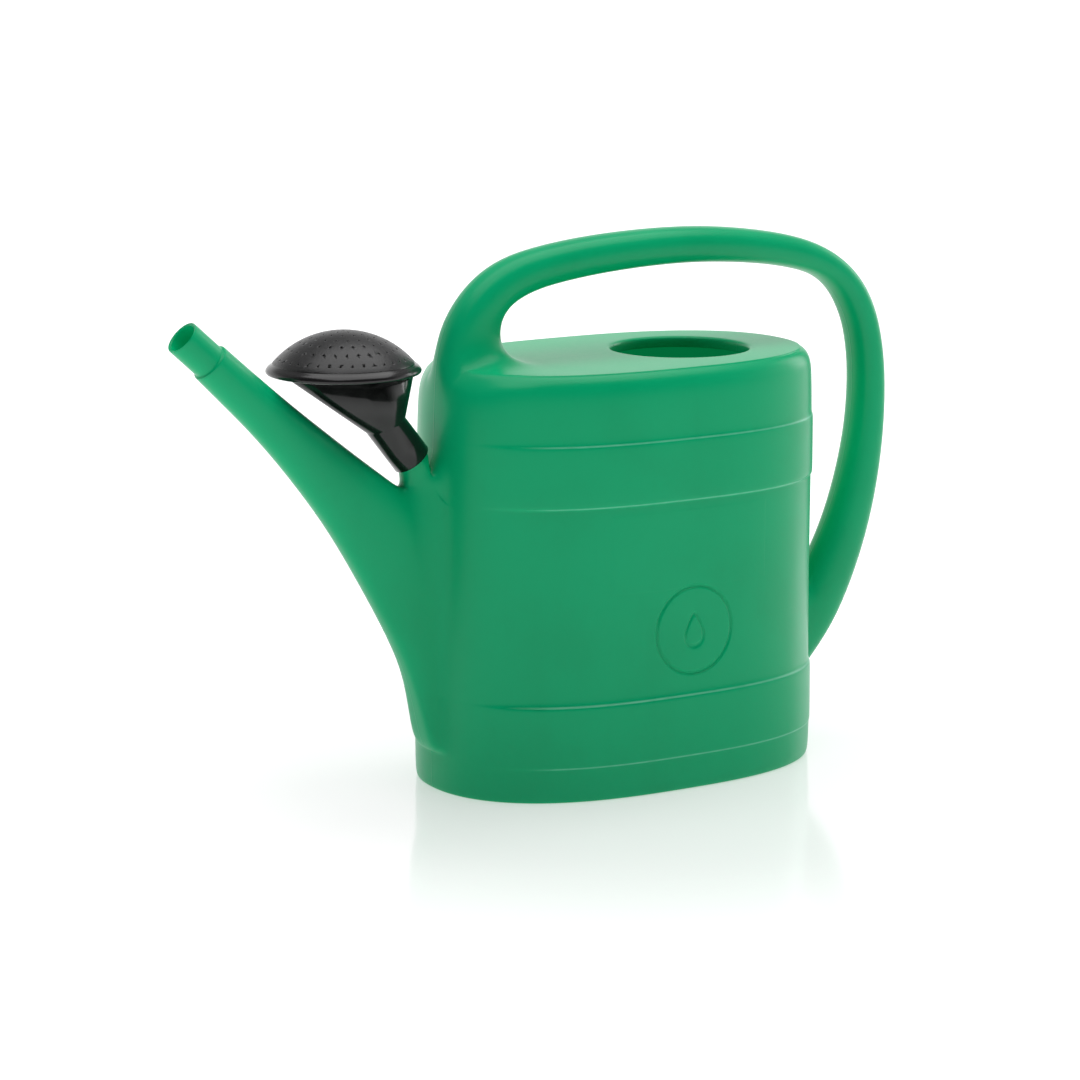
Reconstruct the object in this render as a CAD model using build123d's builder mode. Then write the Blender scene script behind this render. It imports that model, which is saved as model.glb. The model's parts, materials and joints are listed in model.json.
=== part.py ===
# Garden watering can: a blow-moulded can body, and a two-piece rose that fits over the peg it is
# parked on or over the spout's spigot. The body is one hollow moulding. It is made here in four
# solids that meet wall to wall: tank, handle, spout and rose peg.
# Millimetres. Origin: centre of the foot. +Z up, the spout points to -X, the handle is over +X.
# The XZ plane is the plane of symmetry and the mould's parting plane.
import os
from math import atan2, cos, hypot, pi, radians, sin

from build123d import *

os.makedirs("parts", exist_ok=True)

# ---- tank ----
wall = 2.0  # wall of the moulding
tank_length = 306.0
tank_width = 192.0
tank_height = 304.0
plan_power_x = 2.7  # the plan is an oval fuller than an ellipse
plan_power_y = 2.2
plan_points = 32
foot_band_top = 26.0
low_band_top = 70.0  # the mid panel starts on this ledge
belt_bottom = 211.0
belt_top = 255.0
core_inset = 2.2  # the mid panel and the top zone sit this far inside the low band
foot_inset = 0.8
belt_inset = 0.4
shoulder_radius = 10.0
foot_radius = 7.0

# ---- fill hole ----
hole_x = 53.0
hole_radius = 50.5
lip_depth = 8.0  # the rim is turned down into the tank

# ---- handle: outer point, inner point and half width of each section, from front to rear ----
handle_edge_radius = 11.0
handle_sections = [((-146, 282), (-97, 282), 19.0), ((-147, 308), (-99, 308), 17.0),
                   ((-143, 332), (-101, 328), 16.0), ((-126, 358), (-96, 342), 15.5),
                   ((-103, 375), (-84, 350), 15.5), ((-70, 384.5), (-62, 357.5), 15.5),
                   ((0, 391.8), (0, 364.8), 15.5), ((62, 391.8), (62, 366.2), 15.5),
                   ((127, 385), (125, 360.5), 15.5), ((176, 372), (163.5, 350.5), 15.5),
                   ((208, 348.5), (187.5, 334.5), 15.5), ((225, 317), (202, 311), 15.5),
                   ((232.5, 270), (208.7, 270), 15.5), ((233, 225), (206.5, 230), 15.5),
                   ((226, 172), (197.5, 186), 15.5), ((210, 122), (182, 154), 16.0),
                   ((182, 74), (158, 122), 17.0), ((146, 42), (132, 104), 18.0)]

# ---- spout: top point, bottom point and half width of each section ----
spout_sections = [((-315.4, 333.2), (-335.0, 311.8), 14.5), ((-277, 299), (-304, 281), 15.0),
                  ((-240, 268), (-276, 250), 15.5), ((-205, 240), (-252, 214), 16.0),
                  ((-178, 220), (-210, 155), 16.5), ((-152, 203), (-184, 100), 17.0),
                  ((-128, 190), (-146, 20), 18.0)]
spout_edge_radius = 13.0
spout_angle = 42.5  # rise of the spout's end, degrees
spigot_radius = 12.6
spigot_bore = 10.8
spigot_length = 27.0
collar_radius = 13.5
collar_thickness = 3.0
collar_x = -325.2
collar_z = 322.5

# ---- rose peg and rose ----
rose_angle = 52.0  # rise of the peg and of the rose's sleeve, degrees
sleeve_mouth_x = -170.0
sleeve_mouth_z = 241.5
peg_radius = 11.8
peg_tip_radius = 11.2
peg_reach = 28.0  # how far the peg enters the sleeve
peg_root = 58.0  # how far it runs back into the tank
sleeve_bore = 12.9
sleeve_radius = 14.2
sleeve_length = 37.0
cone_start = 33.4  # where the cone leaves the sleeve, along the sleeve's axis
cone_tilt = 16.6  # the cone's lower end is turned this far from square towards level, degrees
rose_x = -223.0
rose_rim_z = 308.0
rose_radius = 54.0
rose_wall = 1.8
dome_height = 28.5
skirt_depth = 2.6
flange_gap = 0.3
flange_thickness = 2.2
mouth_x = -220.0
mouth_radius = 45.6
pinhole_radius = 0.8
pinhole_rings = 6
pinhole_pitch = 7.6  # from ring to ring
holes_per_ring = 6  # this many more on each ring than on the one inside it

rose_axis = Vector(-cos(radians(rose_angle)), 0, sin(radians(rose_angle)))
spout_axis = Vector(-cos(radians(spout_angle)), 0, sin(radians(spout_angle)))
sleeve_mouth = Vector(sleeve_mouth_x, 0, sleeve_mouth_z)
collar = Vector(collar_x, 0, collar_z)


def plan_point(turn, half_length, half_width):
    across = cos(turn)
    along = sin(turn)
    x = half_length * abs(across) ** (2 / plan_power_x) * (1 if across > 0 else -1)
    y = half_width * abs(along) ** (2 / plan_power_y) * (1 if along > 0 else -1)
    return (x, y)


def oval(inset):
    half_length = tank_length / 2 - inset
    half_width = tank_width / 2 - inset
    turns = [2 * pi * k / plan_points for k in range(plan_points)]
    with BuildSketch() as plan:
        with BuildLine():
            Spline(*[plan_point(turn, half_length, half_width) for turn in turns], periodic=True)
        make_face()
    return plan.sketch


# The tank's form, drawn in by shrink: 0 gives the skin and wall gives the hollow.
def tank_form(shrink):
    bands = [(0, tank_height, core_inset), (0, low_band_top, foot_inset),
             (foot_band_top, low_band_top, 0), (belt_bottom, belt_top, belt_inset)]
    with BuildPart() as form:
        for bottom, top, inset in bands:
            with BuildSketch(Plane.XY.offset(bottom + shrink)):
                add(oval(inset + shrink))
            extrude(amount=top - bottom - 2 * shrink)
        fillet(form.edges().group_by(Axis.Z)[-1], shoulder_radius - shrink)
        fillet(form.edges().group_by(Axis.Z)[0], foot_radius - shrink)
    return form.part


# A bent tube of rounded section, each section standing between two points of the plane of
# symmetry. It is drawn in by shrink, as the tank's form is.
def tube_form(sections, edge_radius, shrink):
    with BuildPart() as form:
        for outer, inner, half_width in sections:
            depth = hypot(outer[0] - inner[0], outer[1] - inner[1])
            middle = ((outer[0] + inner[0]) / 2, 0, (outer[1] + inner[1]) / 2)
            outward = Vector(outer[0] - inner[0], 0, outer[1] - inner[1])
            section = Plane(origin=middle, x_dir=outward, z_dir=outward.cross(Vector(0, 1, 0)))
            with BuildSketch(section):
                RectangleRounded(depth - 2 * shrink, 2 * (half_width - shrink),
                                 edge_radius - shrink)
        loft()
    return form.part


tank_skin = tank_form(0)
tank_hollow = tank_form(wall)
handle_skin = tube_form(handle_sections, handle_edge_radius, 0)
handle_hollow = tube_form(handle_sections, handle_edge_radius, wall)
spout_skin = tube_form(spout_sections, spout_edge_radius, 0)
spout_hollow = tube_form(spout_sections, spout_edge_radius, wall)

peg_start = sleeve_mouth - rose_axis * peg_root
peg_plane = Plane(origin=peg_start, x_dir=(0, 1, 0), z_dir=rose_axis)
collar_plane = Plane(origin=collar, x_dir=(0, 1, 0), z_dir=spout_axis)


def peg_form(shrink):
    with BuildPart() as form:
        with BuildSketch(peg_plane):
            Circle(peg_radius - shrink)
        with BuildSketch(peg_plane.offset(peg_root + peg_reach - shrink)):
            Circle(peg_tip_radius - shrink)
        loft()
    return form.part


peg_skin = peg_form(0)
peg_hollow = peg_form(wall)

# ---- tank: open into the handle, the spout and the peg, with the fill hole's rim turned down ----
with BuildPart() as tank:
    add(tank_skin)
    add(tank_hollow, mode=Mode.SUBTRACT)
    add(spout_hollow, mode=Mode.SUBTRACT)
    add(handle_hollow, mode=Mode.SUBTRACT)
    add(peg_hollow, mode=Mode.SUBTRACT)
    with BuildSketch(Plane.XY.offset(tank_height - lip_depth)):
        with Locations((hole_x, 0)):
            Circle(hole_radius + wall)
    extrude(amount=lip_depth)
    with BuildSketch(Plane.XY.offset(tank_height - lip_depth - 1)):
        with Locations((hole_x, 0)):
            Circle(hole_radius)
    extrude(amount=lip_depth + 2, mode=Mode.SUBTRACT)
tank.part.label = "tank"
export_step(tank.part, "parts/tank.step")

# ---- handle: one hollow tube from the front of the top to the rear wall ----
with BuildPart() as handle:
    add(handle_skin)
    add(handle_hollow, mode=Mode.SUBTRACT)
    add(tank_skin, mode=Mode.SUBTRACT)
handle.part.label = "handle"
export_step(handle.part, "parts/handle.step")

# ---- spout: deep at the tank, round at the collar, then the spigot that the rose fits over ----
with BuildPart() as spout:
    add(spout_skin)
    add(spout_hollow, mode=Mode.SUBTRACT)
    with BuildSketch(collar_plane.offset(-collar_thickness)):
        Circle(collar_radius)
    extrude(amount=collar_thickness)
    with BuildSketch(collar_plane):
        Circle(spigot_radius)
    extrude(amount=spigot_length)
    with BuildSketch(collar_plane.offset(-2 * collar_thickness)):
        Circle(spigot_bore)
    extrude(amount=spigot_length + 3 * collar_thickness, mode=Mode.SUBTRACT)
    add(tank_skin, mode=Mode.SUBTRACT)
spout.part.label = "spout"
export_step(spout.part, "parts/spout.step")

# ---- rose peg: a closed hollow stub, rising from the front wall over the spout ----
with BuildPart() as rose_peg:
    add(peg_skin)
    add(peg_hollow, mode=Mode.SUBTRACT)
    add(tank_skin, mode=Mode.SUBTRACT)
    add(spout_skin, mode=Mode.SUBTRACT)
rose_peg.part.label = "rose_peg"
export_step(rose_peg.part, "parts/rose_peg.step")
print("tank holds, litres to the brim:", round(tank_hollow.volume / 1e6, 2))

# ---- rose funnel: sleeve, oblique cone and the flange that the face snaps over ----
flange_top = rose_rim_z - skirt_depth + flange_thickness
flange_bottom = flange_top - flange_thickness
cone_rise = radians(rose_angle + cone_tilt)
cone_axis = Vector(-cos(cone_rise), 0, sin(cone_rise))
cone_base = sleeve_mouth + rose_axis * cone_start
sleeve_plane = Plane(origin=sleeve_mouth, x_dir=(0, 1, 0), z_dir=rose_axis)
cone_plane = Plane(origin=cone_base, x_dir=(0, 1, 0), z_dir=cone_axis)
mouth_plane = Plane(origin=(mouth_x, 0, flange_bottom), x_dir=(0, 1, 0), z_dir=(0, 0, 1))
flange_plane = Plane(origin=(rose_x, 0, flange_bottom), x_dir=(0, 1, 0), z_dir=(0, 0, 1))
funnel_wall = sleeve_radius - sleeve_bore


def cone_form(shrink):
    with BuildPart() as form:
        with BuildSketch(cone_plane):
            Circle(sleeve_radius - shrink)
        with BuildSketch(mouth_plane):
            Circle(mouth_radius - shrink)
        loft()
    return form.part


cone_skin = cone_form(0)
cone_hollow = cone_form(funnel_wall)

with BuildPart() as rose_funnel:
    with BuildSketch(sleeve_plane):
        Circle(sleeve_radius)
    extrude(amount=sleeve_length)
    add(cone_skin)
    with BuildSketch(flange_plane):
        Circle(rose_radius - rose_wall - flange_gap)
    extrude(amount=flange_thickness)
    add(cone_hollow, mode=Mode.SUBTRACT)
    with BuildSketch(mouth_plane):
        Circle(mouth_radius - funnel_wall)
    extrude(amount=flange_thickness, mode=Mode.SUBTRACT)
    with BuildSketch(sleeve_plane):
        Circle(sleeve_bore)
    extrude(amount=sleeve_length, mode=Mode.SUBTRACT)
rose_funnel.part.label = "rose_funnel"
export_step(rose_funnel.part, "parts/rose_funnel.step")

# ---- rose face: a shallow round dome with rings of pinholes and a short skirt over the flange ----
inner_radius = rose_radius - rose_wall
dome_radius = (rose_radius ** 2 + dome_height ** 2) / (2 * dome_height)
dome_centre = dome_height - dome_radius
inner_dome = dome_radius - rose_wall
inner_foot = dome_centre + (inner_dome ** 2 - inner_radius ** 2) ** 0.5
half_turn = atan2(rose_radius, -dome_centre) / 2  # from the dome's top to half way down its arc


# The point half way down the dome's arc, or down its inner face.
def dome_point(radius):
    return (radius * sin(half_turn), dome_centre + radius * cos(half_turn))


# The pinhole planes stand on the dome, each along the dome's own normal.
def pinhole_planes():
    planes = [Plane(origin=(rose_x, 0, rose_rim_z + dome_height))]
    for ring in range(1, pinhole_rings + 1):
        ring_radius = ring * pinhole_pitch
        height = dome_centre + (dome_radius ** 2 - ring_radius ** 2) ** 0.5
        holes = holes_per_ring * ring
        for hole in range(holes):
            turn = 2 * pi * (hole + 0.5 * (ring % 2)) / holes
            x = ring_radius * cos(turn)
            y = ring_radius * sin(turn)
            normal = (x, y, height - dome_centre)
            planes.append(Plane(origin=(rose_x + x, y, rose_rim_z + height), z_dir=normal))
    return planes


profile_plane = Plane(origin=(rose_x, 0, rose_rim_z), x_dir=(1, 0, 0), z_dir=(0, -1, 0))
with BuildPart() as rose_face:
    with BuildSketch(profile_plane):
        with BuildLine():
            Line((0, dome_height - rose_wall), (0, dome_height))
            ThreePointArc((0, dome_height), dome_point(dome_radius), (rose_radius, 0))
            Line((rose_radius, 0), (rose_radius, -skirt_depth))
            Line((rose_radius, -skirt_depth), (inner_radius, -skirt_depth))
            Line((inner_radius, -skirt_depth), (inner_radius, inner_foot))
            ThreePointArc((inner_radius, inner_foot), dome_point(inner_dome),
                          (0, dome_height - rose_wall))
        make_face()
    revolve(axis=Axis((rose_x, 0, 0), (0, 0, 1)))
    with Locations(*pinhole_planes()):
        Cylinder(pinhole_radius, 4 * rose_wall, mode=Mode.SUBTRACT)
rose_face.part.label = "rose_face"
export_step(rose_face.part, "parts/rose_face.step")
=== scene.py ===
import bisect
import json
import math

import bmesh
import bpy
from mathutils import Matrix, Vector


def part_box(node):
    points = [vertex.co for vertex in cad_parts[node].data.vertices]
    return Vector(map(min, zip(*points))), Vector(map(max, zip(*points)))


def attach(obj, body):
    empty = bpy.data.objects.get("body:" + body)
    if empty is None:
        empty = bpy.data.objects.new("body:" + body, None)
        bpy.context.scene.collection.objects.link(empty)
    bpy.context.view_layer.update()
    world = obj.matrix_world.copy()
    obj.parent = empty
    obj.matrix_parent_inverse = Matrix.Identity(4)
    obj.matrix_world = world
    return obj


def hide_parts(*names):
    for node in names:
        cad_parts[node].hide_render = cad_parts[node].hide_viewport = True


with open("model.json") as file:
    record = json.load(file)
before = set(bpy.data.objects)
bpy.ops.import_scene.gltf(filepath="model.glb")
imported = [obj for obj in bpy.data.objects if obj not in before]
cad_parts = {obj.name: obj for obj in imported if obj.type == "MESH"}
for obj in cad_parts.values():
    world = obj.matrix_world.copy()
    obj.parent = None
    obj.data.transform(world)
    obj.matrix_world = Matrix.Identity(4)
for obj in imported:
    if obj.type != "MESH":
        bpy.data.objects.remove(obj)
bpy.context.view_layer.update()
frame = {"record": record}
mm = 0.001
mounts = {mount["name"]: mount for mount in frame["record"]["mounts"]}
joints = {joint["name"]: joint for joint in frame["record"]["behaviour"]["joints"]}
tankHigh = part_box("tank")[1]
print("frame loaded")

# the can body, in millimetres
can = {
    "wall": 2.0,
    "planPowerX": 2.7,  # the plan is an oval fuller than an ellipse
    "planPowerY": 2.2,
    "halfLength": tankHigh.x / mm,
    "halfWidth": tankHigh.y / mm,
    "columns": 24,  # round half of the wall
    "capRows": 3,
    "smoothness": 2,
    # height, inset where the wall is plain, inset where the bands stand out
    "levels": [(3, 17, 17), (0.1, 9, 9), (0, 5.2, 5.2), (0.4, 2.8, 2.8),
               (2, 1.3, 1.3), (21, 0.9, 0.8), (24.9, 0.8, 0.8), (26, 0.8, 0),
               (30, 0.7, 0), (45, 0.7, 0), (66.5, 0.8, 0), (69.3, 0.9, 0.1), (70.3, 1, 2.2),
               (73, 1, 2.6), (82, 1, 2.7), (99, 1.1, 2.9), (116, 1.2, 3), (133, 1.2, 3),
               (150, 1.2, 2.9), (168, 1.2, 2.8), (186, 1.2, 2.6), (204, 1.2, 2.4),
               (208.5, 1.2, 2.3), (210.6, 1.2, 2.2), (211.6, 1.2, 0.5), (214.5, 1.2, 0.2),
               (240, 1.3, 0.2), (251.5, 1.3, 0.2), (254.7, 1.3, 0.4), (255.6, 1.4, 1.7),
               (258.5, 1.4, 1.9), (286, 2, 2.1), (295, 3.2, 3.2),
               (300.4, 6, 6), (302.6, 9, 9), (302.9, 10, 10), (303.9, 10.3, 10.3),
               (304, 11.4, 11.4)],
    "frontDraft": 3.6,  # the foot is this much longer at the front than the top is
    "sideDraft": 1.2,
    "stepBand": (60, 76),  # the lower band's steps lie between these heights
    # columns of the top's grid along the handle's root, the plate, the hole and the rear
    "topColumns": (3, 6, 6, 3),
    "footBow": 10,  # the foot's second row stands this far out
    "rimAngle": 60,  # degrees
    "rimWidth": 0.5,
    "rimSegments": 2,
}
fillHole = {
    "x": 53,
    "radius": 50.5,
    "parts": 8,  # round half of the hole
    "gridColumns": (9, 15),
    # distance outside the hole's wall, depth under the top
    "rim": [(6.5, 0), (2.8, 0.05), (1.1, 0.5), (0.25, 1.7), (0, 3.8), (0, 8)],
}
handle = {
    "rootTop": 286,  # the handle rises flush with the front wall from this height
    "rootSides": [(-131, 25), (-109, 29), (-84, 27)],
    "rootRear": -81,
    "melt": ((-118, 28, 303), 31, 12),  # middle, reach and passes of the blend into the shoulder
    "meltFactor": 0.4,
    "parts": 6,  # round half of the section
    "power": 2.5,  # squareness of the section
    # outer point, inner point, half width, from front to rear
    "sections": [((-149.8, 304), (-91, 306), 20), ((-148, 316), (-99, 315.5), 17.2),
                 ((-143.5, 331), (-101, 328), 16), ((-135, 346), (-98.5, 338), 15.6),
                 ((-121, 362), (-91, 346), 15.5), ((-101, 375.5), (-79, 351.5), 15.5),
                 ((-73, 384), (-62, 356.8), 15.5), ((-20, 390.6), (-15, 363.2), 15.5),
                 ((45, 392.6), (45, 366.2), 15.5),
                 ((90, 389.8), (87, 364.4), 15.5), ((131, 384), (126, 360.4), 15.5),
                 ((165, 376), (155, 354.5), 15.5), ((190, 363.5), (174, 348), 15.5),
                 ((208, 347.5), (189, 336), 15.5), ((220, 329), (198, 321), 15.5),
                 ((227.5, 308), (204.5, 305), 15.5), ((232.5, 280), (208.5, 280), 15.5),
                 ((233.5, 250), (208.3, 252), 15.5), ((232.3, 220), (205.2, 225), 15.5),
                 ((227.8, 185), (197.5, 193), 15.5), ((219, 148), (186, 161), 15.5),
                 ((206, 113), (172, 136), 15.5), ((189, 80), (162, 119), 15.8)],
    "rearTop": 116,
    "rearBottom": 45,
    "rearSpread": 8,
    # bottom and top of the rear end, past the web, then its half width and squareness
    "rearBase": ((3, 53), (1, 122), 15.6, 3),
}
spout = {
    "holeTop": 240,
    "crotchLevel": 204,
    "holeBottom": 30,
    "spread": 8,
    "webHalfWidth": 15.3,
    "webStep": 70,  # height at which the lower band's steps join the web
    "upperBand": (206, 216),  # the upper band's steps lie between these heights
    "upperWeb": (1.5, 13.5, 226),  # past the web, half width, height
    # top point, bottom point, half width, squareness, from the wall to the collar
    "sections": [((-177, 219), (-172, 78), 15.2, 3), ((-190, 229), (-187, 112.5), 15, 3),
                 ((-205, 240.5), (-210, 154), 14.8, 2.8), ((-222, 253.8), (-234, 195), 14.5, 2.6),
                 ((-240, 268.3), (-257.5, 227), 14.3, 2.4),
                 ((-258.6, 283.3), (-280, 255), 14.2, 2.2),
                 ((-277, 298.9), (-300.5, 277.5), 14.2, 2.1),
                 ((-295, 314.6), (-316.5, 293.5), 14.2, 2)],
    "tubeRadius": 14.3,
    "points": 12,  # round half of the section
}
peg = {
    "mouth": (-170, 0, 241.5),  # where the rose's sleeve ends when parked
    "radius": 11.9,
    "reach": 28,
    "points": 4,  # round half of the section
    "rootSwell": 1.1,
    "root": [(0, -2.5), (45, -4), (90, -8)],  # degrees from the top, distance past the mouth
    # distance past the mouth, radius
    "rings": [(-1.5, 11.9), (2, 11.9), (14, 11.6), (24, 11.3), (27, 10.8), (28, 9)],
}
roundel = {
    "x": 7,
    "z": 116.5,
    "columns": (10, 14),
    "levels": (82, 150),
    # radius, depth: the edge of the patch, then across the groove
    "rings": [(34.5, 0), (33.3, 0), (32.8, 0.3), (32.2, 1.1), (31.0, 1.1), (30.4, 0.3),
              (29.9, 0), (28.4, 0)],
    "dropLevels": (99, 133),
    # a drop of water: eight points anticlockwise from the lower left, beside the middle
    "drop": [(-7.6, -12.5), (0, -15.4), (7.6, -12.5), (10.6, -4.5), (5.2, 6.5), (0, 17.5),
             (-5.2, 6.5), (-10.6, -4.5)],
    "dropRings": [(1.0, 0), (0.95, 0.3), (0.9, 1.0), (0.76, 1.0), (0.7, 0.3), (0.65, 0)],
    "dropMiddle": -4,
    "inset": 0.4,
    "cornerTurn": -135,  # degrees
}


def levelAt(height):
    return next(k for k, level in enumerate(can["levels"]) if level[0] == height and k > 3)


def ovalAt(turn, inset):
    across, along = math.cos(turn), math.sin(turn)
    x = math.copysign(abs(across) ** (2 / can["planPowerX"]), across) * (can["halfLength"] - inset)
    y = abs(along) ** (2 / can["planPowerY"]) * (can["halfWidth"] - inset)
    return Vector((x, y))


# turns that divide the half outline evenly, front to rear
def evenTurns(parts, samples=4000):
    fine = [math.pi * (1 - k / samples) for k in range(samples + 1)]
    run = [0.0]
    for a, b in zip(fine, fine[1:]):
        run.append(run[-1] + (ovalAt(a, 0) - ovalAt(b, 0)).length)
    stops = [run[-1] * k / parts for k in range(parts + 1)]
    return [fine[min(bisect.bisect_left(run, stop), samples)] for stop in stops]


turns = evenTurns(can["columns"])


# how far the bands have faded into the plain wall: they stop short of the spout and the handle
def plainness(column):
    fromEnd = min(column, can["columns"] + 1 - column)
    return {0: 1, 1: 1, 2: 1, 3: 0.95, 4: 0.5, 5: 0.08}.get(fromEnd, 0)


# moves each point out a little, because the smoothed surface passes inside its cage
def sharpened(spots):
    def flipped(spot):
        return Vector((spot.x, -spot.y))
    around = [flipped(spots[1])] + spots + [flipped(spots[-2])]
    return [b + (b - (a + c) / 2) / 3 for a, b, c in zip(around, around[1:], around[2:])]


# the walls lean out a little towards the foot
def drafted(spot, height):
    low = 1 - height / can["levels"][-1][0]
    longer = 1 + (can["frontDraft"] if spot.x < 0 else 0) / can["halfLength"] * low
    return Vector((spot.x * longer, spot.y * (1 + can["sideDraft"] / can["halfWidth"] * low)))


def ringSpots(level):
    height, plain, banded = can["levels"][level]
    spots = []
    for column, turn in enumerate(turns):
        spot = ovalAt(turn, banded + (plain - banded) * plainness(column))
        spots.append(drafted(spot, height))
    return [(spot.x, spot.y, height) for spot in sharpened(spots)]


# the wall's Y at a place on its side
def wallY(x, height):
    levels = [level for level in can["levels"] if level[0] >= 9]
    above = next(k for k, level in enumerate(levels) if level[0] >= height)
    low, high = levels[above - 1], levels[above]
    inset = low[2] + (high[2] - low[2]) * (height - low[0]) / (high[0] - low[0])
    share = 1 - (abs(x) / (can["halfLength"] - inset)) ** can["planPowerX"]
    y = (can["halfWidth"] - inset) * share ** (1 / can["planPowerY"])
    return drafted(Vector((x, y)), height).y


# a cage with this angle between its points smooths onto the curve when made this much larger
def cageSwell(angle):
    return 3 / (2 + math.cos(angle))


# points of half a rounded section on the +Y side, from its outer point to its inner point
def sectionSpots(outer, inner, halfWidth, power, parts):
    middle = ((outer[0] + inner[0]) / 2, (outer[1] + inner[1]) / 2)
    reach = ((outer[0] - inner[0]) / 2, (outer[1] - inner[1]) / 2)
    swell = cageSwell(math.pi / parts)
    spots = []
    for k in range(parts + 1):
        across, along = math.sin(math.pi * k / parts), math.cos(math.pi * k / parts)
        along = math.copysign(abs(along) ** (2 / power), along) * swell
        across = 0 if k in (0, parts) else across ** (2 / power) * swell
        spots.append((middle[0] + reach[0] * along, halfWidth * across,
                      middle[1] + reach[1] * along))
    return spots


def place(vert, spot):
    vert.co = Vector(spot) * mm


# extrudes an open chain of vertices, puts its copy at the spots and returns the copy
def pull(bm, chain, spots):
    edges = [bm.edges.get(pair) for pair in zip(chain, chain[1:])]
    made = bmesh.ops.extrude_edge_only(bm, edges=edges)["geom"]
    fresh = {item for item in made if isinstance(item, bmesh.types.BMVert)}
    copies = []
    for vert, spot in zip(chain, spots):
        copy = next(edge.other_vert(vert) for edge in vert.link_edges
                    if edge.other_vert(vert) in fresh)
        place(copy, spot)
        copies.append(copy)
    return copies


def between(a, b, parts):
    a, b = Vector(a), Vector(b)
    return [tuple(a + (b - a) * k / parts) for k in range(1, parts)]


def cutOut(bm, verts):
    inside = set(verts)
    faces = [face for face in bm.faces if all(vert in inside for vert in face.verts)]
    bmesh.ops.delete(bm, geom=faces, context="FACES")


# closes an oval ring with a grid of quads; rows lists the inner points of its last two rows
def closeCap(bm, ring, height, rowTwo, rowThree):
    rows = can["capRows"]
    length = len(ring) - 1 - 2 * rows
    grid = [[ring[rows - row] for row in range(rows + 1)]]
    for column in range(1, length + 1):
        outer = ring[rows + column].co / mm
        if column < length:
            second, third = rowTwo[column - 1], rowThree[column - 1]
            first = ((outer.x + second[0]) / 2, (outer.y + second[1]) / 2)
            spots = [outer] + [(*spot, height) for spot in (first, second, third)]
        else:
            spots = [ring[rows + column + row].co / mm for row in range(rows + 1)]
        grid.append(pull(bm, grid[-1], spots))
    targets = {grid[column][0]: ring[rows + column] for column in range(1, length + 1)}
    targets.update({grid[length][row]: ring[rows + length + row] for row in range(rows + 1)})
    bmesh.ops.weld_verts(bm, targetmap=targets)
    for column in range(length + 1):
        grid[column][0] = ring[rows + column]
    grid[length] = [ring[rows + length + row] for row in range(rows + 1)]
    return grid


# places along the chain that lie between two heights
def placesBetween(chain, low, high):
    return [k for k, vert in enumerate(chain) if low < vert.co.z / mm < high]


# each group of neighbours in the chain becomes one vertex at the group's middle
def gather(bm, chain, groups):
    kept = []
    skip = set()
    for first, last in groups:
        members = chain[first:last + 1]
        middle = sum((vert.co for vert in members), Vector()) / len(members)
        bmesh.ops.pointmerge(bm, verts=members, merge_co=middle)
        skip.update(range(first + 1, last + 1))
    for k, vert in enumerate(chain):
        if k not in skip:
            kept.append(vert)
    return kept


def circleSpots(radius, parts):
    swell = cageSwell(math.pi / parts)
    spots = []
    for k in range(parts + 1):
        angle = math.pi * (1 - k / parts)
        y = abs(radius * swell * math.sin(angle)) if 0 < k < parts else 0
        spots.append((radius * swell * math.cos(angle), y))
    return spots


# half a ring round an axis that lies in the plane of symmetry
def halfRing(middle, upward, radius, angles):
    parts = len(angles) - 1
    swell = cageSwell(math.pi / parts)
    spots = []
    for k, angle in enumerate(angles):
        side = upward * math.cos(angle)
        side.y = math.sin(angle) if 0 < k < parts else 0
        spots.append(middle + side * radius * swell)
    return spots


def finishPiece(name, bm):
    bmesh.ops.recalc_face_normals(bm, faces=bm.faces[:])
    mesh = bpy.data.meshes.new(name)
    bm.to_mesh(mesh)
    bm.free()
    mesh.polygons.foreach_set("use_smooth", [True] * len(mesh.polygons))
    piece = bpy.data.objects.new(name, mesh)
    bpy.context.scene.collection.objects.link(piece)
    return piece


def makeWall(bm):
    first = [bm.verts.new(Vector(spot) * mm) for spot in ringSpots(0)]
    for pair in zip(first, first[1:]):
        bm.edges.new(pair)
    wall = [first]
    for level in range(1, len(can["levels"])):
        wall.append(pull(bm, wall[-1], ringSpots(level)))
    return wall


def makeFoot(bm, wall):
    ring = wall[0]
    count = len(ring) - 1 - 2 * can["capRows"]
    rowTwo = between(ring[1].co.xy / mm, ring[-2].co.xy / mm, count)
    rowTwo = [(x, y + can["footBow"]) for x, y in rowTwo]
    rowThree = between(ring[0].co.xy / mm, ring[-1].co.xy / mm, count)
    closeCap(bm, ring, can["levels"][0][0], rowTwo, rowThree)


def makeTop(bm, wall):
    ring = wall[-1]
    height = can["levels"][-1][0]
    rootColumns, plateColumns, holeColumns, rearColumns = can["topColumns"]
    hole = circleSpots(fillHole["radius"] + fillHole["rim"][0][0], fillHole["parts"])
    hole = [(x + fillHole["x"], y) for x, y in hole]
    sides = handle["rootSides"]
    rear = (handle["rootRear"], 0)
    front, back = ring[0].co.xy / mm, ring[-1].co.xy / mm
    rowTwo = sides + between(sides[-1], hole[1], plateColumns) + hole[1:-1]
    rowTwo += between(hole[-2], ring[-2].co.xy / mm, rearColumns)
    rowThree = between(front, rear, rootColumns) + [rear]
    rowThree += between(rear, hole[0], plateColumns) + [hole[0]]
    rowThree += between(hole[0], hole[-1], holeColumns) + [hole[-1]]
    rowThree += between(hole[-1], back, rearColumns)
    return closeCap(bm, ring, height, rowTwo, rowThree)


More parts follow.
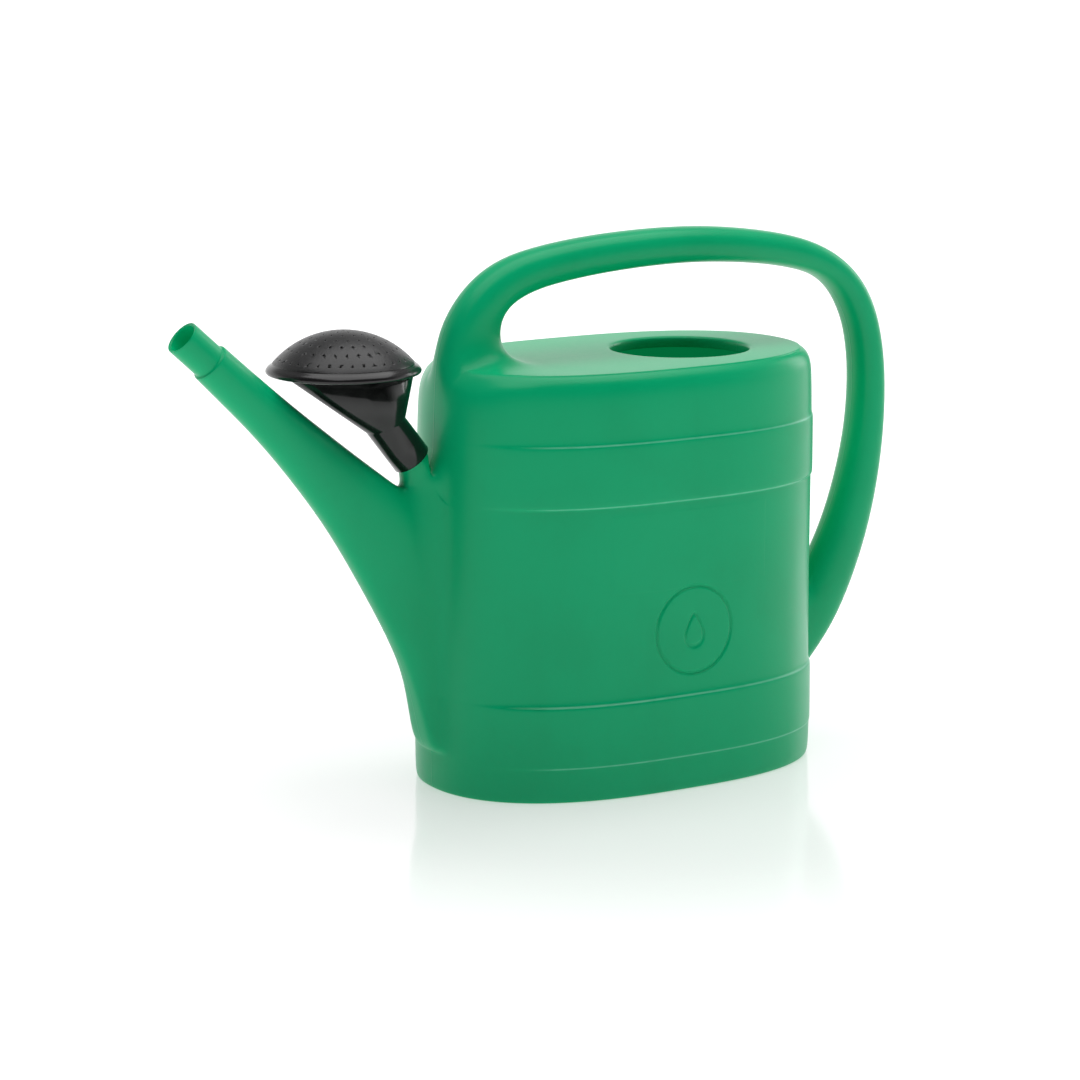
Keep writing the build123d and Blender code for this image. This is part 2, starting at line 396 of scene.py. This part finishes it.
def makeFillHole(bm, grid):
    first, last = fillHole["gridColumns"]
    cutOut(bm, [grid[c][r] for c in range(first, last + 1) for r in (2, 3)])
    chain = [grid[first][3]] + [grid[c][2] for c in range(first, last + 1)] + [grid[last][3]]
    height = can["levels"][-1][0]
    for outside, depth in fillHole["rim"][1:]:
        spots = circleSpots(fillHole["radius"] + outside, fillHole["parts"])
        chain = pull(bm, chain, [(x + fillHole["x"], y, height - depth) for x, y in spots])


def makeHandle(bm, wall, grid):
    low = levelAt(handle["rootTop"])
    shoulder = range(low, len(wall))
    cutOut(bm, [wall[k][c] for k in shoulder for c in (0, 1)]
           + [grid[c][r] for c in range(4) for r in (2, 3)])
    chain = [wall[low][0]] + [wall[k][1] for k in shoulder]
    chain += [grid[1][2], grid[2][2], grid[3][2], grid[3][3]]
    merged = len(wall) - low - 1  # the shoulder's steps run into one corner of the handle
    for number, (outer, inner, halfWidth) in enumerate(handle["sections"]):
        spots = sectionSpots(outer, inner, halfWidth, handle["power"], handle["parts"])
        if number == 0:
            wide = spots[:2] + [spots[2]] * merged + spots[3:]
            chain = gather(bm, pull(bm, chain, wide), [(2, 1 + merged)])
        else:
            chain = pull(bm, chain, spots)
    return chain


def makeHandleRear(bm, wall, handleEnd):
    low, high = levelAt(handle["rearBottom"]), levelAt(handle["rearTop"])
    last = can["columns"]
    cutOut(bm, [wall[k][c] for k in range(low, high + 1) for c in (last - 1, last)])
    chain = [wall[low][last]] + [wall[k][last - 1] for k in range(low, high + 1)]
    chain += [wall[high][last]]
    webX = wall[low][last].co.x / mm + handle["rearSpread"]
    bottom, top, halfWidth, power = handle["rearBase"]
    spots = sectionSpots((webX + bottom[0], bottom[1]), (webX + top[0], top[1]),
                         halfWidth, power, handle["parts"])
    steps = placesBetween(chain, *can["stepBand"])
    wide = []
    for k in range(len(chain)):
        share = k if k <= steps[0] else max(steps[0], k - len(steps) + 1)
        wide.append(spots[share])
    chain = gather(bm, pull(bm, chain, wide), [(steps[0], steps[-1])])
    ends = pull(bm, handleEnd, [vert.co / mm for vert in chain])
    bmesh.ops.weld_verts(bm, targetmap=dict(zip(ends, chain)))


def makeSpout(bm, wall):
    top, bottom = levelAt(spout["holeTop"]), levelAt(spout["holeBottom"])
    cutOut(bm, [wall[k][c] for k in range(bottom, top + 1) for c in (0, 1)])
    chain = [wall[top][0]] + [wall[k][1] for k in range(top, bottom - 1, -1)] + [wall[bottom][0]]
    webX = wall[bottom][0].co.x / mm - spout["spread"]
    outward, upperWidth, upperHeight = spout["upperWeb"]
    spots = []
    for k, vert in enumerate(chain):
        z = vert.co.z / mm
        if z > spout["crotchLevel"]:
            spots.append((webX + outward, upperWidth, upperHeight))
        else:
            spots.append((webX, 0 if k == len(chain) - 1 else spout["webHalfWidth"], z))
    steps = placesBetween(chain, *can["stepBand"])
    belt = placesBetween(chain, *spout["upperBand"])
    for k in steps:
        spots[k] = (webX, spout["webHalfWidth"], spout["webStep"])
    chain = gather(bm, pull(bm, chain, spots), [(belt[0], belt[-1]), (steps[0], steps[-1])])
    # the web divides at the crotch: the peg rises from its upper part and the spout from the rest
    axis = Vector(joints["rose_pull"]["axis"])
    upward = Vector((axis.z, 0, -axis.x))
    mouth = Vector(peg["mouth"])
    sections = spout["sections"]
    first = sectionSpots(*sections[0], spout["points"])
    pegSpots = []
    for degrees, distance in peg["root"]:
        turn = math.radians(degrees)
        side = upward * math.cos(turn) + Vector((0, math.sin(turn), 0))
        pegSpots.append(mouth + axis * distance + side * peg["radius"] * peg["rootSwell"])
    chain = pull(bm, chain, pegSpots + first[1:])
    crotch = bm.verts.new(Vector(first[0]) * mm)
    bm.edges.new((crotch, chain[3]))
    pegChain = [crotch, chain[3], chain[2], chain[1], chain[0]]
    spoutChain = [crotch] + chain[3:]
    for section in sections[1:]:
        spoutChain = pull(bm, spoutChain, sectionSpots(*section, spout["points"]))
    makeSpigot(bm, spoutChain)
    parts = peg["points"]
    angles = [math.pi * (1 - k / parts) for k in range(parts + 1)]
    for distance, radius in peg["rings"]:
        pegChain = pull(bm, pegChain, halfRing(mouth + axis * distance, upward, radius, angles))
    bmesh.ops.pointmerge(bm, verts=pegChain, merge_co=(mouth + axis * peg["reach"]) * mm)


def makeSpigot(bm, chain):
    mount = mounts["spigot"]
    axis = Vector(mount["axis"])
    middle = Vector(mount["pos_m"]) / mm
    length, radius = mount["dims"]["length_mm"], mount["dims"]["r_mm"]
    collar = middle - axis * length / 2
    upward = Vector((axis.z, 0, -axis.x))
    tube = spout["tubeRadius"]
    parts = spout["points"]
    angles = [math.pi * k / parts for k in range(parts + 1)]
    # distance past the collar, radius
    rings = [(-3, tube), (-0.9, tube), (-0.2, tube - 0.4), (0, radius + 0.5), (0.7, radius),
             (3, radius), (length - 4, radius), (length - 0.5, radius), (length, radius - 0.3)]
    for distance, size in rings:
        chain = pull(bm, chain, halfRing(collar + axis * distance, upward, size, angles))


def onWall(vert, x, z, depth):
    place(vert, (x, wallY(x, z) - depth, z))


# the corners of a block of wall panels, anticlockwise from its lower front corner
def blockEdge(wall, left, right, low, high):
    edge = [wall[low][c] for c in range(left, right)] + [wall[k][right] for k in range(low, high)]
    edge += [wall[high][c] for c in range(right, left, -1)]
    return edge + [wall[k][left] for k in range(high, low, -1)]


# presses rings into a block of panels; ringSpot gives each corner's x, z and depth
def press(bm, wall, left, right, low, high, rings, ringSpot):
    verts = {vert for k in range(low, high + 1) for vert in wall[k][left:right + 1]}
    edge = blockEdge(wall, left, right, low, high)
    faces = [face for face in bm.faces if all(vert in verts for vert in face.verts)]
    for number, ring in enumerate(rings):
        if number:
            bmesh.ops.inset_region(bm, faces=faces, thickness=roundel["inset"] * mm,
                                   use_even_offset=True)
            inner = {vert for face in faces for vert in face.verts}
            edge = [old if old in inner else
                    next(e.other_vert(old) for e in old.link_edges if e.other_vert(old) in inner)
                    for old in edge]
        for k, vert in enumerate(edge):
            onWall(vert, *ringSpot(k, len(edge), ring))
    return edge


def makeRoundel(bm, wall):
    left, right = roundel["columns"]
    low, high = (levelAt(z) for z in roundel["levels"])
    dropLow, dropHigh = (levelAt(z) for z in roundel["dropLevels"])

    def circleSpot(k, count, ring):
        swell = cageSwell(2 * math.pi / count)
        turn = math.radians(roundel["cornerTurn"]) + 2 * math.pi * k / count
        return (roundel["x"] + ring[0] * swell * math.cos(turn),
                roundel["z"] + ring[0] * swell * math.sin(turn), ring[1])

    def dropSpot(k, count, ring):
        x, z = roundel["drop"][k]
        return roundel["x"] + x * ring[0], roundel["z"] + z * ring[0], ring[1]

    press(bm, wall, left, right, low, high, roundel["rings"], circleSpot)
    press(bm, wall, left + 1, right - 1, dropLow, dropHigh, roundel["dropRings"], dropSpot)
    middle = wall[(dropLow + dropHigh) // 2][(left + right) // 2]
    onWall(middle, roundel["x"], roundel["z"] + roundel["dropMiddle"], 0)


# smooths the skin near a joint; what lies on the plane of symmetry stays
def melt(bm, middle, reach, passes):
    near = [vert for vert in bm.verts
            if (vert.co / mm - Vector(middle)).length < reach and vert.co.y > 0.1 * mm]
    for _ in range(passes):
        bmesh.ops.smooth_vert(bm, verts=near, factor=handle["meltFactor"], use_axis_x=True,
                              use_axis_y=True, use_axis_z=True)


def makeCanBody():
    bm = bmesh.new()
    wall = makeWall(bm)
    makeRoundel(bm, wall)
    makeFoot(bm, wall)
    grid = makeTop(bm, wall)
    makeFillHole(bm, grid)
    end = makeHandle(bm, wall, grid)
    makeHandleRear(bm, wall, end)
    makeSpout(bm, wall)
    melt(bm, *handle["melt"])
    everything = bm.verts[:] + bm.edges[:] + bm.faces[:]
    bmesh.ops.mirror(bm, geom=everything, matrix=Matrix.Identity(4), merge_dist=1e-6, axis="Y")
    body = finishPiece("canBody", bm)
    smooth = body.modifiers.new("smooth", "SUBSURF")
    smooth.levels = smooth.render_levels = can["smoothness"]
    thicken = body.modifiers.new("wall", "SOLIDIFY")
    thicken.thickness = can["wall"] * mm
    thicken.offset = -1
    thicken.material_offset = 1  # the inside has its own finish, with a painted glow standing in for light through the wall
    soften = body.modifiers.new("rims", "BEVEL")
    soften.limit_method = "ANGLE"
    soften.angle_limit = math.radians(can["rimAngle"])
    soften.width = can["rimWidth"] * mm
    soften.segments = can["rimSegments"]
    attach(body, "can")
    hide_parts("tank", "handle", "spout", "rose_peg")
    return body


canBody = makeCanBody()
print("can body made")


# the rose, in millimetres
rose = {
    "x": -223,
    "rim": 308,  # height of the widest circle
    "radius": 54,
    "domeHeight": 28.5,
    "texturedRadius": 49.3,  # the fine texture ends at a small step here
    "step": 0.35,
    "wall": 1.8,
    # radius and height of the smooth band and the rolled lip, from the step down and round
    "lip": [(51.4, 4.4), (52.8, 3), (53.7, 1.8), (54, 0.8), (53.8, -0.1), (53.2, -0.8),
            (52.5, -1.1), (51.9, -1), (51.9, -0.5)],
    "turns": 96,
    "ringPitch": 7.6,
    "rings": 6,
    "holesPerRing": 6,
    "holeRadius": 0.68,
    "holeSides": 10,
    "cutterDepth": 8,
    "outerRows": 18,
    "innerRows": 12,
}
funnel = {
    "mouth": peg["mouth"],  # the sleeve's open end
    "bore": 12.9,
    "outside": 14.2,
    "coneStart": 33.4,
    "coneTilt": 16.6,  # degrees
    "coneX": -220,
    "coneTop": 306.9,
    "coneRadius": 45.6,
    "flangeRadius": 51.5,
    "flangeTop": 308.1,
    "wall": 1.3,
    "sides": 72,
}


def domeHeightAt(radius, drop=0):
    ball = (rose["radius"] ** 2 + rose["domeHeight"] ** 2) / (2 * rose["domeHeight"])
    return rose["domeHeight"] - ball + math.sqrt((ball - drop) ** 2 - radius ** 2)


# outer skin from the crown to the lip, then the inner skin back to the crown
def faceOutline():
    textured = rose["texturedRadius"]
    rows = rose["outerRows"]
    radii = [textured * k / rows for k in range(rows)] + [textured - 0.35]
    outline = [(r, domeHeightAt(r)) for r in radii]
    outline += [(textured, domeHeightAt(textured) - rose["step"] * 0.7),
                (textured + 0.4, domeHeightAt(textured + 0.4) - rose["step"])]
    outline += rose["lip"]
    inner = rose["radius"] - rose["wall"] - 0.5
    rows = rose["innerRows"]
    for k in range(rows, -1, -1):
        radius = inner * k / rows
        outline.append((radius, domeHeightAt(radius, rose["wall"])))
    return outline


def spinOutline(outline, x, z, steps):
    bm = bmesh.new()
    verts = [bm.verts.new(Vector((x + r, 0, z + h)) * mm) for r, h in outline]
    edges = [bm.edges.new(pair) for pair in zip(verts, verts[1:])]
    bmesh.ops.spin(bm, geom=verts + edges, cent=(x * mm, 0, 0), axis=(0, 0, 1),
                   angle=2 * math.pi, steps=steps, use_merge=True)
    bmesh.ops.remove_doubles(bm, verts=bm.verts[:], dist=0.01 * mm)
    return bm


# one peg for every pinhole, square to the dome
def pinholePegs():
    bm = bmesh.new()
    ball = (rose["radius"] ** 2 + rose["domeHeight"] ** 2) / (2 * rose["domeHeight"])
    middle = Vector((rose["x"], 0, rose["rim"] + rose["domeHeight"] - ball))
    for ring in range(rose["rings"] + 1):
        holes = max(1, ring * rose["holesPerRing"])
        lean = math.asin(ring * rose["ringPitch"] / ball)
        for hole in range(holes):
            turn = 2 * math.pi * (hole + 0.5 * (ring % 2)) / holes
            outward = Vector((math.sin(lean) * math.cos(turn), math.sin(lean) * math.sin(turn),
                              math.cos(lean)))
            where = Matrix.Translation((middle + outward * ball) * mm)
            where = where @ outward.to_track_quat("Z", "Y").to_matrix().to_4x4()
            bmesh.ops.create_cone(bm, cap_ends=True, segments=rose["holeSides"],
                                  radius1=rose["holeRadius"] * mm, radius2=rose["holeRadius"] * mm,
                                  depth=rose["cutterDepth"] * mm, matrix=where)
    return finishPiece("pinholePegs", bm)


def applyModifiers(piece):
    shown = piece.evaluated_get(bpy.context.evaluated_depsgraph_get())
    mesh = bpy.data.meshes.new_from_object(shown)
    piece.modifiers.clear()
    piece.data = mesh


def makeRoseFace():
    bm = spinOutline(faceOutline(), rose["x"], rose["rim"], rose["turns"])
    face = finishPiece("roseFace", bm)
    pegs = pinholePegs()
    cut = face.modifiers.new("pinholes", "BOOLEAN")
    cut.operation = "DIFFERENCE"
    cut.solver = "EXACT"
    cut.object = pegs
    applyModifiers(face)
    bpy.data.objects.remove(pegs)
    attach(face, "face")
    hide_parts("rose_face")
    return face


def makeRoseFunnel():
    bm = bmesh.new()
    axis = Vector(joints["rose_pull"]["axis"])
    mouth = Vector(funnel["mouth"])
    tilt = math.atan2(axis.z, -axis.x) + math.radians(funnel["coneTilt"])
    coneAxis = Vector((-math.cos(tilt), 0, math.sin(tilt)))
    up = Vector((0, 0, 1))
    base = mouth + axis * funnel["coneStart"]
    top = Vector((funnel["coneX"], 0, funnel["coneTop"]))
    lid = Vector((rose["x"], 0, 0))
    outside, bore, thin = funnel["outside"], funnel["bore"], funnel["wall"]
    flange, flangeTop = funnel["flangeRadius"], funnel["flangeTop"]
    wide = outside / math.cos(math.radians(funnel["coneTilt"]))  # a tilted cut is longer
    # middle, axis, radius and stretch of each ring, from the sleeve's mouth out and back inside
    rings = [(mouth + axis * 0.6, axis, bore + 0.1, 1), (mouth + axis * 0.1, axis, bore + 0.5, 1),
             (mouth + axis * 0.1, axis, outside - 0.4, 1), (mouth + axis * 0.6, axis, outside, 1),
             (mouth + axis * 14, axis, outside, 1),
             (base - axis * 0.5, coneAxis, outside, wide / outside),
             (base + coneAxis * 0.4, coneAxis, outside + 0.2, wide / outside)]
    bottom = Vector((rose["x"], 0, funnel["coneTop"]))
    rings += [(top, up, funnel["coneRadius"] + 0.5, 1), (bottom, up, flange - 0.4, 1),
              (bottom + up * 0.4, up, flange, 1), (lid + up * flangeTop, up, flange, 1),
              (top + up * (flangeTop - funnel["coneTop"]), up, funnel["coneRadius"] - thin, 1)]
    rings.append((base + coneAxis, coneAxis, bore, wide / outside))
    rings.append((mouth + axis * 20, axis, bore, 1))
    loops = []
    for centre, normal, radius, stretch in rings:
        sideways = Vector((0, 1, 0))
        turn = Matrix((sideways.cross(normal), sideways, normal)).transposed().to_4x4()
        where = Matrix.Translation(centre * mm) @ turn @ Matrix.Diagonal((stretch, 1, 1, 1))
        made = bmesh.ops.create_circle(bm, segments=funnel["sides"], radius=radius * mm,
                                       matrix=where)["verts"]
        loops.append([edge for edge in {e for vert in made for e in vert.link_edges}])
    for first, second in zip(loops, loops[1:] + loops[:1]):
        bmesh.ops.bridge_loops(bm, edges=first + second)
    piece = finishPiece("roseFunnel", bm)
    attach(piece, "rose")
    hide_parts("rose_funnel")
    return piece


roseFace = makeRoseFace()
roseFunnel = makeRoseFunnel()
print("rose made")


class Wire:
    def __init__(self, recipe, socket):
        self.recipe = recipe
        self.socket = socket

    def maths(self, operation, first, second=0.0):
        return self.recipe.add("ShaderNodeMath", {"operation": operation}, {0: first, 1: second})

    def __add__(self, other):
        return self.maths("ADD", self, other)

    def __sub__(self, other):
        return self.maths("SUBTRACT", self, other)

    def __rsub__(self, other):
        return self.maths("SUBTRACT", other, self)

    def __mul__(self, other):
        return self.maths("MULTIPLY", self, other)

    def __truediv__(self, other):
        return self.maths("DIVIDE", self, other)

    def __abs__(self):
        return self.maths("ABSOLUTE", self)

    def root(self):
        return self.maths("SQRT", self)

    def largest(self, other):
        return self.maths("MAXIMUM", self, other)

    # 0 below low, 1 above high, smooth between
    def rising(self, low, high):
        settings = {"interpolation_type": "SMOOTHSTEP"}
        return self.recipe.add("ShaderNodeMapRange", settings, {0: self, 1: low, 2: high})

    __radd__ = __add__
    __rmul__ = __mul__


class Recipe:
    def __init__(self, name, **fixed):
        self.material = bpy.data.materials.new(name)
        self.material.use_nodes = True
        self.tree = self.material.node_tree
        self.shader = self.tree.nodes["Principled BSDF"]
        for socket, value in fixed.items():
            self.shader.inputs[socket.replace("_", " ")].default_value = value

    def add(self, kind, settings, inputs, output=0):
        node = self.tree.nodes.new(kind)
        for key, value in settings.items():
            setattr(node, key, value)
        for key, value in inputs.items():
            if isinstance(value, Wire):
                self.tree.links.new(value.socket, node.inputs[key])
            else:
                node.inputs[key].default_value = value
        return Wire(self, node.outputs[output])

    def here(self):
        return self.add("ShaderNodeTexCoord", {}, {}, "Object")

    def axes(self, place):
        return [self.add("ShaderNodeSeparateXYZ", {}, {0: place}, k) for k in range(3)]

    # cloudy value from 0 to 1; grain is the size of a cloud in metres
    def noise(self, place, grain, detail=2.0, stretch=(1, 1, 1)):
        if stretch != (1, 1, 1):
            place = self.add("ShaderNodeMapping", {}, {"Vector": place, "Scale": stretch})
        return self.add("ShaderNodeTexNoise", {}, {"Vector": place, "Scale": 1 / grain,
                                                   "Detail": detail}, "Fac")

    def blend(self, first, second, factor):
        node = self.tree.nodes.new("ShaderNodeMix")
        node.data_type = "RGBA"
        for key, value in ((6, first), (7, second)):
            if isinstance(value, Wire):
                self.tree.links.new(value.socket, node.inputs[key])
            else:
                node.inputs[key].default_value = (*value, 1)
        self.tree.links.new(factor.socket, node.inputs[0])
        return Wire(self, node.outputs[2])

    # heights in millimetres
    def bump(self, height):
        wire = self.add("ShaderNodeBump", {}, {"Height": height, "Distance": mm, "Strength": 1.0})
        self.feed("Normal", wire)

    def feed(self, socket, wire):
        self.tree.links.new(wire.socket, self.shader.inputs[socket])


greenFinish = {
    "deep": (0.0004, 0.44, 0.178),
    "plain": (0.0005, 0.465, 0.19),
    "milky": (0.001, 0.49, 0.206),
    "shine": 0.22,
    "ledges": (255.0, 211.2, 69.8, 25.6),  # heights of the ledges along which pale highlight lines are painted, in millimetres
    "ledgeEnds": (-122, -92, 151),  # they begin and are full at the first two, and end at the last
    # pale colour painted along the ledges as a highlight
    "paintedLedgeHighlightColour": (0.16, 0.66, 0.42),
    "roughness": 0.31,
    "orangePeel": 0.0015,  # millimetres
    "waviness": 0.2,  # millimetres
    "seamHeight": 0.07,  # millimetres
    "seamWidth": 0.0009,  # metres
    "panelHeight": 0.06,  # millimetres
    "panel": (0.0045, 0.176, 0.0655, 0.028),  # middle x and z, half length, half height, metres
    # painted glow of the inside, standing in for light that passes through the translucent wall
    "insidePaintedGlow": 0.16,
}
glossFinish = {
    "roughness": 0.13,
    "black": (0.006, 0.0075, 0.007),
    "faded": (0.012, 0.014, 0.013),
}
faceFinish = {
    "pit": (0.011, 0.011, 0.012),
    "grain": (0.017, 0.0165, 0.0175),
    "band": (0.012, 0.011, 0.012),
    "roughness": 0.34,
    "bandRoughness": 0.16,
    "grainHeight": 0.05,  # millimetres
    "grainSize": 0.0011,  # metres
}


# satin polyethylene: a soft mottle, faint streaks down the wall, pale highlight lines painted along the
# ledges, orange peel, the mould's seam and a raised panel; the inside has a painted glow and no painted
# ledge highlights
def greenPlastic(name, paintedGlow):
    recipe = Recipe(name, Emission_Strength=paintedGlow, IOR=1.5,
                    Specular_IOR_Level=greenFinish["shine"])
    place = recipe.here()
    x, y, z = recipe.axes(place)
    mottle = recipe.noise(place, 0.09, 3.0)
    speckle = recipe.noise(place, 0.0035, 2.0)
    streaks = recipe.noise(place, 0.012, 2.0, (1, 1, 0.06))
    tone = mottle * 0.8 + streaks * 0.1 + speckle * 0.1
    colour = recipe.blend(greenFinish["deep"], greenFinish["plain"], tone.rising(0.35, 0.55))
    colour = recipe.blend(colour, greenFinish["milky"], tone.rising(0.5, 0.8) * 0.5)
    # the inside glows: painted light standing in for light through the wall
    if paintedGlow:
        recipe.feed("Emission Color", colour)
    else:
        # pale highlight lines painted along the ledges, full between the first two x values and fading
        # out at the last
        first, full, last = greenFinish["ledgeEnds"]
        paintedLedgeHighlightMask = 0
        for ledge in greenFinish["ledges"]:
            paintedLedgeHighlightMask = (1 - abs(z / mm - ledge).rising(0.1, 0.95)) + paintedLedgeHighlightMask
        paintedLedgeHighlightMask = paintedLedgeHighlightMask * (x / mm).rising(first, full) * (1 - (x / mm).rising(last - 4, last))
        colour = recipe.blend(colour, greenFinish["paintedLedgeHighlightColour"], paintedLedgeHighlightMask * (streaks * 0.8 + 0.3))
    recipe.feed("Base Color", colour)
    recipe.feed("Roughness", mottle * 0.08 + speckle * 0.06 + (greenFinish["roughness"] - 0.07))
    seam = 1 - (abs(y) / greenFinish["seamWidth"]).rising(0.2, 1.0)
    middleX, middleZ, halfLength, halfHeight = greenFinish["panel"]
    outside = (abs(x - middleX) - halfLength).largest(abs(z - middleZ) - halfHeight)
    panel = 1 - (outside / mm).rising(-0.6, 0.6)
    height = recipe.noise(place, 0.0026, 1.0) * greenFinish["orangePeel"]
    height = height + recipe.noise(place, 0.05, 1.0) * greenFinish["waviness"]
    height = height + seam * greenFinish["seamHeight"] + panel * greenFinish["panelHeight"]
    recipe.bump(height)
    return recipe.material


# gloss black moulding with faint flow marks
def blackGloss():
    recipe = Recipe("blackGloss", IOR=1.5)
    place = recipe.here()
    flow = recipe.noise(place, 0.012, 3.0, (1, 1, 0.25))
    recipe.feed("Base Color", recipe.blend(glossFinish["black"], glossFinish["faded"],
                                           flow.rising(0.35, 0.7)))
    recipe.feed("Roughness", flow * 0.08 + (glossFinish["roughness"] - 0.04))
    recipe.bump(flow * 0.03 + recipe.noise(place, 0.0012, 1.0) * 0.0015)
    return recipe.material


# spark-textured dome with a smooth band round its rim
def blackTexture():
    recipe = Recipe("blackTexture", IOR=1.5)
    place = recipe.here()
    x, y, z = recipe.axes(place)
    offset = x - rose["x"] * mm
    radius = (offset * offset + y * y).root()
    band = (radius / mm).rising(rose["texturedRadius"] - 0.4, rose["texturedRadius"] + 0.2)
    under = 1 - (z / mm - rose["rim"]).rising(0.5, 1.5)
    smooth = band.largest(under)
    grain = recipe.noise(place, faceFinish["grainSize"], 3.0)
    broad = recipe.noise(place, 0.02, 2.0)
    tone = grain.rising(0.38, 0.66) * (0.7 + broad * 0.6)
    colour = recipe.blend(faceFinish["pit"], faceFinish["grain"], tone)
    recipe.feed("Base Color", recipe.blend(colour, faceFinish["band"], smooth))
    rough = faceFinish["roughness"] + (grain - 0.5) * 0.25
    recipe.feed("Roughness", rough * (1 - smooth) + smooth * (faceFinish["bandRoughness"] + broad * 0.08))
    recipe.bump(grain.rising(0.3, 0.7) * (1 - smooth) * faceFinish["grainHeight"])
    return recipe.material


canBody.data.materials.append(greenPlastic("greenPlastic", 0))
canBody.data.materials.append(greenPlastic("greenPlasticInsidePaintedGlow", greenFinish["insidePaintedGlow"]))
roseFunnel.data.materials.append(blackGloss())
roseFace.data.materials.clear()
roseFace.data.materials.append(blackTexture())
print("finishes made")


studio = {
    "floorSize": 40,
    "floorColor": (0.62, 0.62, 0.62),
    "floorGlow": (0.45, 0.75),  # beside the can and away from it
    "floorFade": (0.22, 0.55),
    "floorRoughness": 0.13,
    "frontGlow": 0.05,
    "backGlow": 1.12,
    "topGlow": 0.3,
    "frontFade": (-0.25, 0.3),  # from the back's glow to the front's
    "topFade": (0.25, 0.5),  # from the full glow to the share of it that is left overhead
    # place, size, power
    "lamps": {"overhead": ((0, -0.15, 1.8), (2.2, 1.7), 25),
              "right": ((2.2, 0.3, 0.9), (0.8, 1.2), 7)},
    "aim": (0, 0, 0.18),
}
camera = {"azimuth": 30.81, "elevation": 11.62, "distance": 2.5894, "lens": 120,
          "target": (-0.0652, 0, 0.1725)}


def aimed(item, place, target):
    item.location = place
    item.rotation_euler = (Vector(target) - Vector(place)).to_track_quat("-Z", "Y").to_euler()
    bpy.context.scene.collection.objects.link(item)


def makeFloor():
    bm = bmesh.new()
    bmesh.ops.create_grid(bm, x_segments=4, y_segments=4, size=studio["floorSize"] / 2)
    floor = finishPiece("floor", bm)
    recipe = Recipe("paleFloor", IOR=1.42, Roughness=studio["floorRoughness"],
                    Emission_Strength=1)
    recipe.shader.inputs["Base Color"].default_value = (*studio["floorColor"], 1)
    away = recipe.add("ShaderNodeVectorMath", {"operation": "LENGTH"}, {0: recipe.here()}, "Value")
    beside, far = studio["floorGlow"]
    recipe.feed("Emission Color", recipe.blend((beside,) * 3, (far,) * 3,
                                               away.rising(*studio["floorFade"])))
    floor.data.materials.append(recipe.material)


# brighter than white behind the can, fading on the camera's side and overhead
def makeSky():
    world = bpy.data.worlds.new("studio")
    bpy.context.scene.world = world
    world.use_nodes = True
    nodes, links = world.node_tree.nodes, world.node_tree.links
    place = nodes.new("ShaderNodeTexCoord")
    front = nodes.new("ShaderNodeVectorMath")
    front.operation = "DOT_PRODUCT"
    turn = math.radians(camera["azimuth"])
    front.inputs[1].default_value = (-math.sin(turn), -math.cos(turn), 0)
    links.new(place.outputs["Generated"], front.inputs[0])
    apart = nodes.new("ShaderNodeSeparateXYZ")
    links.new(place.outputs["Generated"], apart.inputs[0])

    def faded(source, span, first, last):
        node = nodes.new("ShaderNodeMapRange")
        node.interpolation_type = "SMOOTHSTEP"
        for socket, value in enumerate((*span, first, last), 1):
            node.inputs[socket].default_value = value
        links.new(source, node.inputs[0])
        return node

    fade = faded(front.outputs["Value"], studio["frontFade"], studio["backGlow"],
                 studio["frontGlow"])
    rise = faded(apart.outputs["Z"], studio["topFade"], 1, studio["topGlow"])
    both = nodes.new("ShaderNodeMath")
    both.operation = "MULTIPLY"
    links.new(fade.outputs[0], both.inputs[0])
    links.new(rise.outputs[0], both.inputs[1])
    links.new(both.outputs[0], nodes["Background"].inputs["Strength"])
    nodes["Background"].inputs["Color"].default_value = (1, 1, 1, 1)


def makeLamps():
    for name, (place, size, power) in studio["lamps"].items():
        lamp = bpy.data.lights.new(name, "AREA")
        lamp.shape = "RECTANGLE"
        lamp.size, lamp.size_y = size
        lamp.energy = power
        item = bpy.data.objects.new(name, lamp)
        item.visible_camera = False
        aimed(item, place, studio["aim"])


def makeCamera():
    view = bpy.data.cameras.new("camera")
    view.lens = camera["lens"]
    turn, rise = math.radians(camera["azimuth"]), math.radians(camera["elevation"])
    away = Vector((-math.sin(turn) * math.cos(rise), -math.cos(turn) * math.cos(rise),
                   math.sin(rise)))
    target = Vector(camera["target"])
    eye = bpy.data.objects.new("camera", view)
    aimed(eye, target + away * camera["distance"], target)
    bpy.context.scene.camera = eye


makeFloor()
makeSky()
makeLamps()
makeCamera()
bpy.context.scene.view_settings.view_transform = "Standard"
print("studio made")
